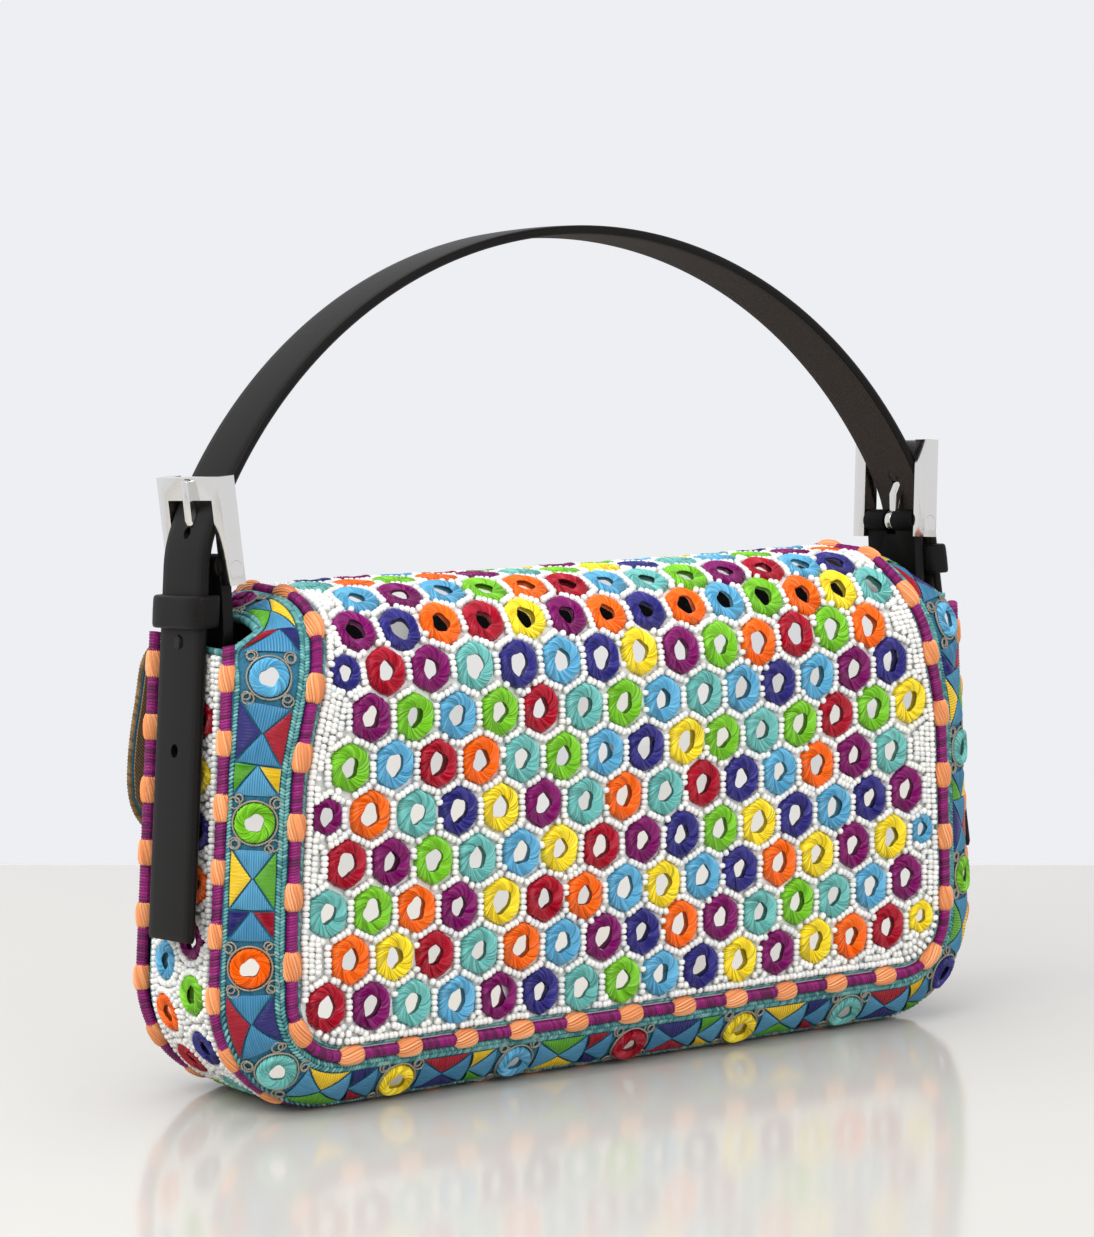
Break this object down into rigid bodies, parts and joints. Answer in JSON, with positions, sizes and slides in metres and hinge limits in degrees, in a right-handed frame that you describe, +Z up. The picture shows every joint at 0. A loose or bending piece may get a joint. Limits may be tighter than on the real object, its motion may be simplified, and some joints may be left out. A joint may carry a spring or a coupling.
{
  "type": "baguette bag",
  "caption": "Short-handled flap shoulder bag with beaded mirror-work cloth, piped seams, buckled leather strap, magnetic snap and zipped inner pocket.",
  "frame": {"origin": "middle of the base, on the surface that the bag stands on", "axes": "+X along the bag's length, -Y out of the back panel, +Y out of the flap, +Z up"},
  "size_m": [0.2834, 0.068, 0.2445],
  "materials": {
    "beaded_cloth": "cotton cloth packed with opaque white seed beads",
    "white_bead": "opaque white glass seed bead, satin gloss",
    "ring_thread": "silk floss wound round each mirror, several colours",
    "mirror_disc": "small bright mirror glass",
    "wrapped_cord": "purple floss wrapped cord with peach knots",
    "braid": "teal stem-stitch braid",
    "band_satin": "satin-stitched triangles",
    "metal_thread": "silver metal thread",
    "lining_cloth": "brown woven twill",
    "strap_leather": "smooth matt near-black leather, burnished edges",
    "buckle_metal": "polished nickel",
    "snap_metal": "satin nickel",
    "zip_tape": "brown woven tape",
    "zip_coil": "moulded coil",
    "zip_metal": "satin nickel"
  },
  "bodies": {
    "bag": {"base_panel": "beaded_cloth", "left_gusset": "beaded_cloth", "right_gusset": "beaded_cloth", "back_piping": "wrapped_cord", "front_piping": "wrapped_cord", "back_panel": "beaded_cloth", "front_panel": "beaded_cloth", "lining_back": "lining_cloth", "lining_front": "lining_cloth", "lining_base": "lining_cloth", "lining_left": "lining_cloth", "lining_right": "lining_cloth", "left_tab_root": "strap_leather", "right_tab_root": "strap_leather", "pocket_bag": "lining_cloth", "zip_tapes": "zip_tape", "zip_coils": "zip_coil", "front_snap": "snap_metal", "front_snap_washer": "snap_metal"},
    "top": {"top_panel": "beaded_cloth", "top_lining": "lining_cloth"},
    "flap": {"flap_panel": "beaded_cloth", "flap_lining": "lining_cloth", "flap_snap": "snap_metal"},
    "handle": {"shoulder_strap": "strap_leather", "left_tab": "strap_leather", "right_tab": "strap_leather", "left_buckle_frame": "buckle_metal", "right_buckle_frame": "buckle_metal", "left_buckle_pin": "buckle_metal", "right_buckle_pin": "buckle_metal", "left_keeper": "strap_leather", "right_keeper": "strap_leather"},
    "left_prong": {"left_prong": "buckle_metal"},
    "right_prong": {"right_prong": "buckle_metal"},
    "zip_slider": {"zip_slider": "zip_metal"},
    "zip_pull": {"zip_pull": "zip_metal"}
  },
  "joints": [
    {"name": "top_lift", "type": "hinge", "parent": "bag", "child": "top", "pos_m": [0, -0.02354, 0.13454], "axis": [1, 0, 0], "range_deg": [0, 18]},
    {"name": "flap_open", "type": "hinge", "parent": "top", "child": "flap", "pos_m": [0, 0.02454, 0.13454], "axis": [1, 0, 0], "range_deg": [0, 115]},
    {"name": "handle_swing", "type": "hinge", "parent": "bag", "child": "handle", "pos_m": [0, 0, 0.134], "axis": [1, 0, 0], "range_deg": [-4, 14]},
    {"name": "left_prong_lift", "type": "hinge", "parent": "handle", "child": "left_prong", "pos_m": [-0.1242, 0.00122, 0.15146], "axis": [0, -0.9976, 0.0698], "range_deg": [0, 5]},
    {"name": "right_prong_lift", "type": "hinge", "parent": "handle", "child": "right_prong", "pos_m": [0.1242, 0.00122, 0.15146], "axis": [0, 0.9976, -0.0698], "range_deg": [0, 5]},
    {"name": "zip_slide", "type": "slide", "parent": "bag", "child": "zip_slider", "axis": [-1, 0, 0], "range_m": [0, 0.14]},
    {"name": "zip_pull_swing", "type": "hinge", "parent": "zip_slider", "child": "zip_pull", "pos_m": [0.072, -0.0245, 0.102], "axis": [0, 1, 0], "range_deg": [-50, 50]}
  ]
}
